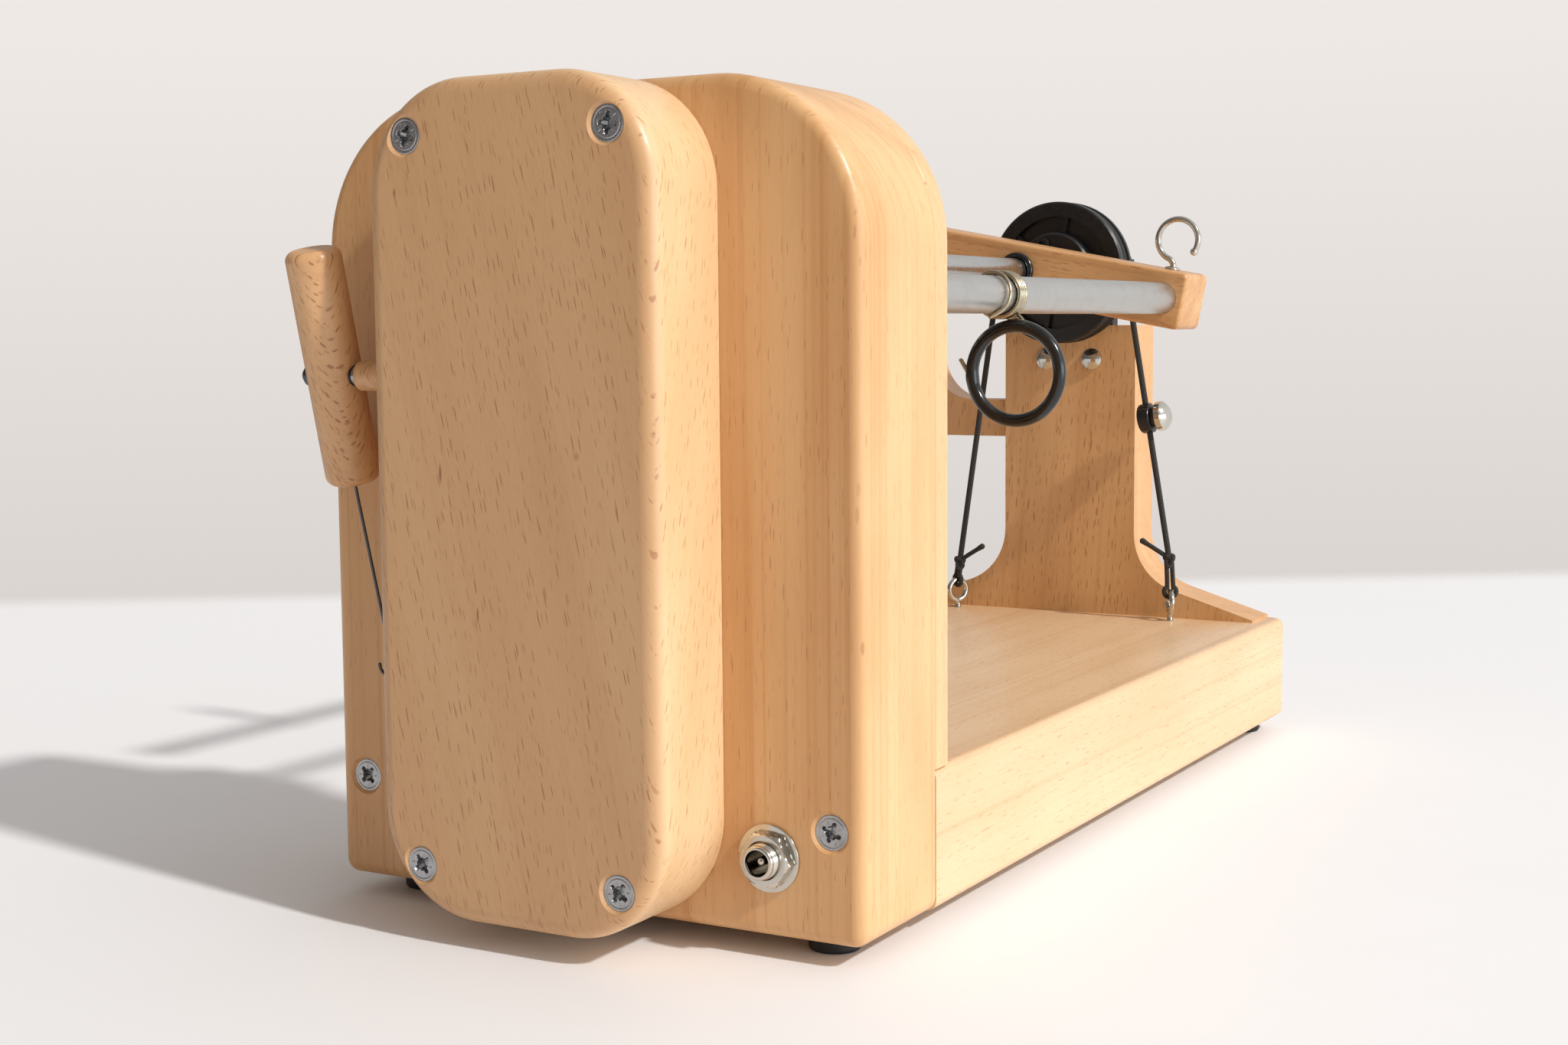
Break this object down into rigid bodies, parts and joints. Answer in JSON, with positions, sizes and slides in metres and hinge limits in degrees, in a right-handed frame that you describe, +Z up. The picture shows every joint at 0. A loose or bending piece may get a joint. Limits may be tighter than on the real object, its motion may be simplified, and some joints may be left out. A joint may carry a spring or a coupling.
{
  "type": "electric yarn spinner",
  "caption": "Electric yarn spinner: wooden motor housing with belt cover, base board with front upright, braked two-tube flyer and clip-on threading hook.",
  "frame": {"origin": "middle of the bounding box's length and width, on the table under the rubber feet", "axes": "+Z up, -Y towards the orifice, +Y towards the belt cover, flyer axis parallel to Y"},
  "size_m": [0.145, 0.355, 0.2006],
  "materials": {
    "beech": "satin lacquered beech with short dark flecks",
    "beech_pale": "satin lacquered beech, pale pinkish",
    "beech_turned": "satin lacquered turned beech",
    "zinc_screw": "zinc plated, semi bright",
    "nickel": "nickel plated, polished",
    "steel": "ground steel",
    "tube_aluminium": "drawn aluminium, satin",
    "motor_steel": "blackened steel can",
    "black_plastic": "moulded black plastic, satin",
    "grey_plastic": "moulded dark grey plastic",
    "black_rubber": "matt black rubber",
    "belt_rubber": "ground rubber belt",
    "circuit_board": "green solder mask",
    "elastic_cord": "braided elastic cord, dark",
    "painted_bracket": "black powder coat",
    "magnet": "nickel plated magnet"
  },
  "bodies": {
    "housing": {"base_board": "beech_pale", "casing": "beech", "front_panel": "beech", "belt_cover": "beech", "cover_screws": "zinc_screw", "casing_screws": "zinc_screw", "panel_screws": "zinc_screw", "rubber_feet": "black_rubber", "power_socket": "nickel", "socket_washer": "nickel", "socket_nut": "nickel", "motor": "motor_steel", "motor_screws": "zinc_screw", "shaft_bearings": "steel", "control_board": "circuit_board", "board_spacers": "nickel", "potentiometer": "grey_plastic", "switch_body": "black_plastic", "upright": "beech_pale", "side_arm": "beech_pale", "bearing_cradle": "painted_bracket", "cradle_bolts": "nickel", "cradle_nuts": "nickel", "orifice_bearing": "steel", "screw_eyes": "nickel", "brake_cord": "elastic_cord", "drive_belt": "belt_rubber", "magnet_peg": "beech_turned", "magnet": "magnet"},
    "flyer": {"orifice_tube": "steel", "brake_disc": "black_plastic", "disc_screws": "painted_bracket", "crossbar": "beech_pale", "left_tube": "tube_aluminium", "right_tube": "tube_aluminium", "spindle": "steel", "stop_ring": "black_rubber", "cup_hooks": "nickel"},
    "drive": {"drive_shaft": "steel", "shaft_spacer": "tube_aluminium", "driven_pulley": "black_plastic", "bobbin_driver": "black_plastic"},
    "motor_rotor": {"motor_shaft": "steel", "motor_pulley": "tube_aluminium"},
    "left_guide": {"left_clamp": "nickel", "left_ring": "black_rubber"},
    "right_guide": {"right_clamp": "nickel", "right_ring": "black_rubber"},
    "knob": {"pot_shaft": "steel", "speed_knob": "black_plastic"},
    "rocker": {"switch_rocker": "grey_plastic"},
    "cord_lock": {"cord_lock": "black_plastic"},
    "lock_button": {"lock_button": "nickel"},
    "threading_hook": {"hook_handle": "beech_turned", "hook_pin": "motor_steel", "hook_wire": "motor_steel"}
  },
  "joints": [
    {"name": "flyer_spin", "type": "hinge", "parent": "housing", "child": "flyer", "pos_m": [0, -0.1375, 0.156], "axis": [0, 1, 0], "continuous": true},
    {"name": "drive_spin", "type": "hinge", "parent": "housing", "child": "drive", "pos_m": [0, 0.111, 0.156], "axis": [0, 1, 0], "continuous": true},
    {"name": "motor_spin", "type": "hinge", "parent": "housing", "child": "motor_rotor", "pos_m": [0, 0.14, 0.062], "axis": [0, 1, 0], "continuous": true},
    {"name": "left_guide_slide", "type": "slide", "parent": "flyer", "child": "left_guide", "axis": [0, 1, 0], "range_m": [-0.118, 0.055]},
    {"name": "right_guide_slide", "type": "slide", "parent": "flyer", "child": "right_guide", "axis": [0, 1, 0], "range_m": [-0.118, 0.055]},
    {"name": "knob_turn", "type": "hinge", "parent": "housing", "child": "knob", "pos_m": [-0.042, 0.096, 0.068], "axis": [0, 1, 0], "range_deg": [0, 270]},
    {"name": "rocker_tilt", "type": "hinge", "parent": "housing", "child": "rocker", "pos_m": [0.042, 0.109, 0.068], "axis": [1, 0, 0], "range_deg": [-8, 8]},
    {"name": "lock_slide", "type": "slide", "parent": "housing", "child": "cord_lock", "axis": [0.1663, 0, 0.9861], "range_m": [-0.03, 0.03]},
    {"name": "button_press", "type": "slide", "parent": "cord_lock", "child": "lock_button", "axis": [0.9861, 0, -0.1663], "range_m": [0, 0.0017], "stiffness_N_per_m": 300, "springref_m": -0.001},
    {"name": "hook_pull_off", "type": "slide", "parent": "housing", "child": "threading_hook", "axis": [1, 0, 0], "range_m": [0, 0.06]}
  ],
  "couplings": [
    {"joint": "motor_spin", "follows": "drive_spin", "ratio": 3.2979}
  ]
}
